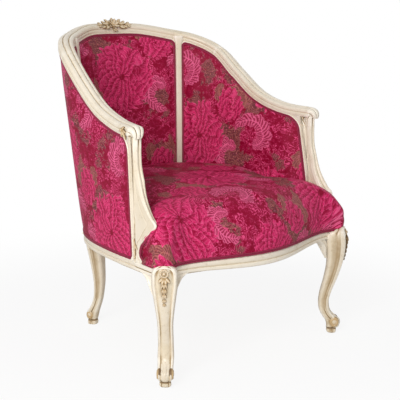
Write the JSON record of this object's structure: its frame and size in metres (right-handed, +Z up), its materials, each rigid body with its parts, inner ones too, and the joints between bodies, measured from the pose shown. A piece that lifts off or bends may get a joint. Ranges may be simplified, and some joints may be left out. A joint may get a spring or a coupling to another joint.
{
  "type": "bergere armchair",
  "caption": "Closed-arm upholstered armchair with a curved carved frame, a three-panel back, a sprung seat and cabriole legs.",
  "frame": {"origin": "on the floor, under the middle of the chair's bounding box", "axes": "+Z up, -Y towards the front of the seat, +X towards the arm that is on the right when facing the chair"},
  "size_m": [0.717, 0.7024, 0.8888],
  "materials": {
    "paint": "antiqued cream paint over beech",
    "beech": "bare beech",
    "gilding": "carved wood with a gold and brown wash",
    "damask": "crimson satin damask",
    "linen": "hessian and jute",
    "steel": "drawn wire"
  },
  "bodies": {
    "root": {"arm_post_left": "paint", "arm_post_right": "paint", "arm_rail_left": "paint", "arm_rail_right": "paint", "back_hessian": "linen", "back_stile_left": "paint", "back_stile_right": "paint", "crest_flower": "gilding", "crest_rail": "paint", "dust_cover": "linen", "front_corner_block_left": "beech", "front_corner_block_right": "beech", "front_leg_left": "paint", "front_leg_right": "paint", "front_seat_rail": "paint", "inside_back_pad": "damask", "inside_side_pad_left": "damask", "inside_side_pad_right": "damask", "knee_carving_left": "gilding", "knee_carving_right": "gilding", "outer_back_cover": "damask", "outer_side_cover_left": "damask", "outer_side_cover_right": "damask", "rear_corner_block_left": "beech", "rear_corner_block_right": "beech", "rear_leg_left": "paint", "rear_leg_right": "paint", "rear_seat_rail": "beech", "seat_hessian": "linen", "seat_pad": "damask", "seat_webbing": "linen", "side_hessian_left": "linen", "side_hessian_right": "linen", "side_seat_rail_left": "paint", "side_seat_rail_right": "paint", "spring_unit": "steel"}
  },
  "joints": []
}
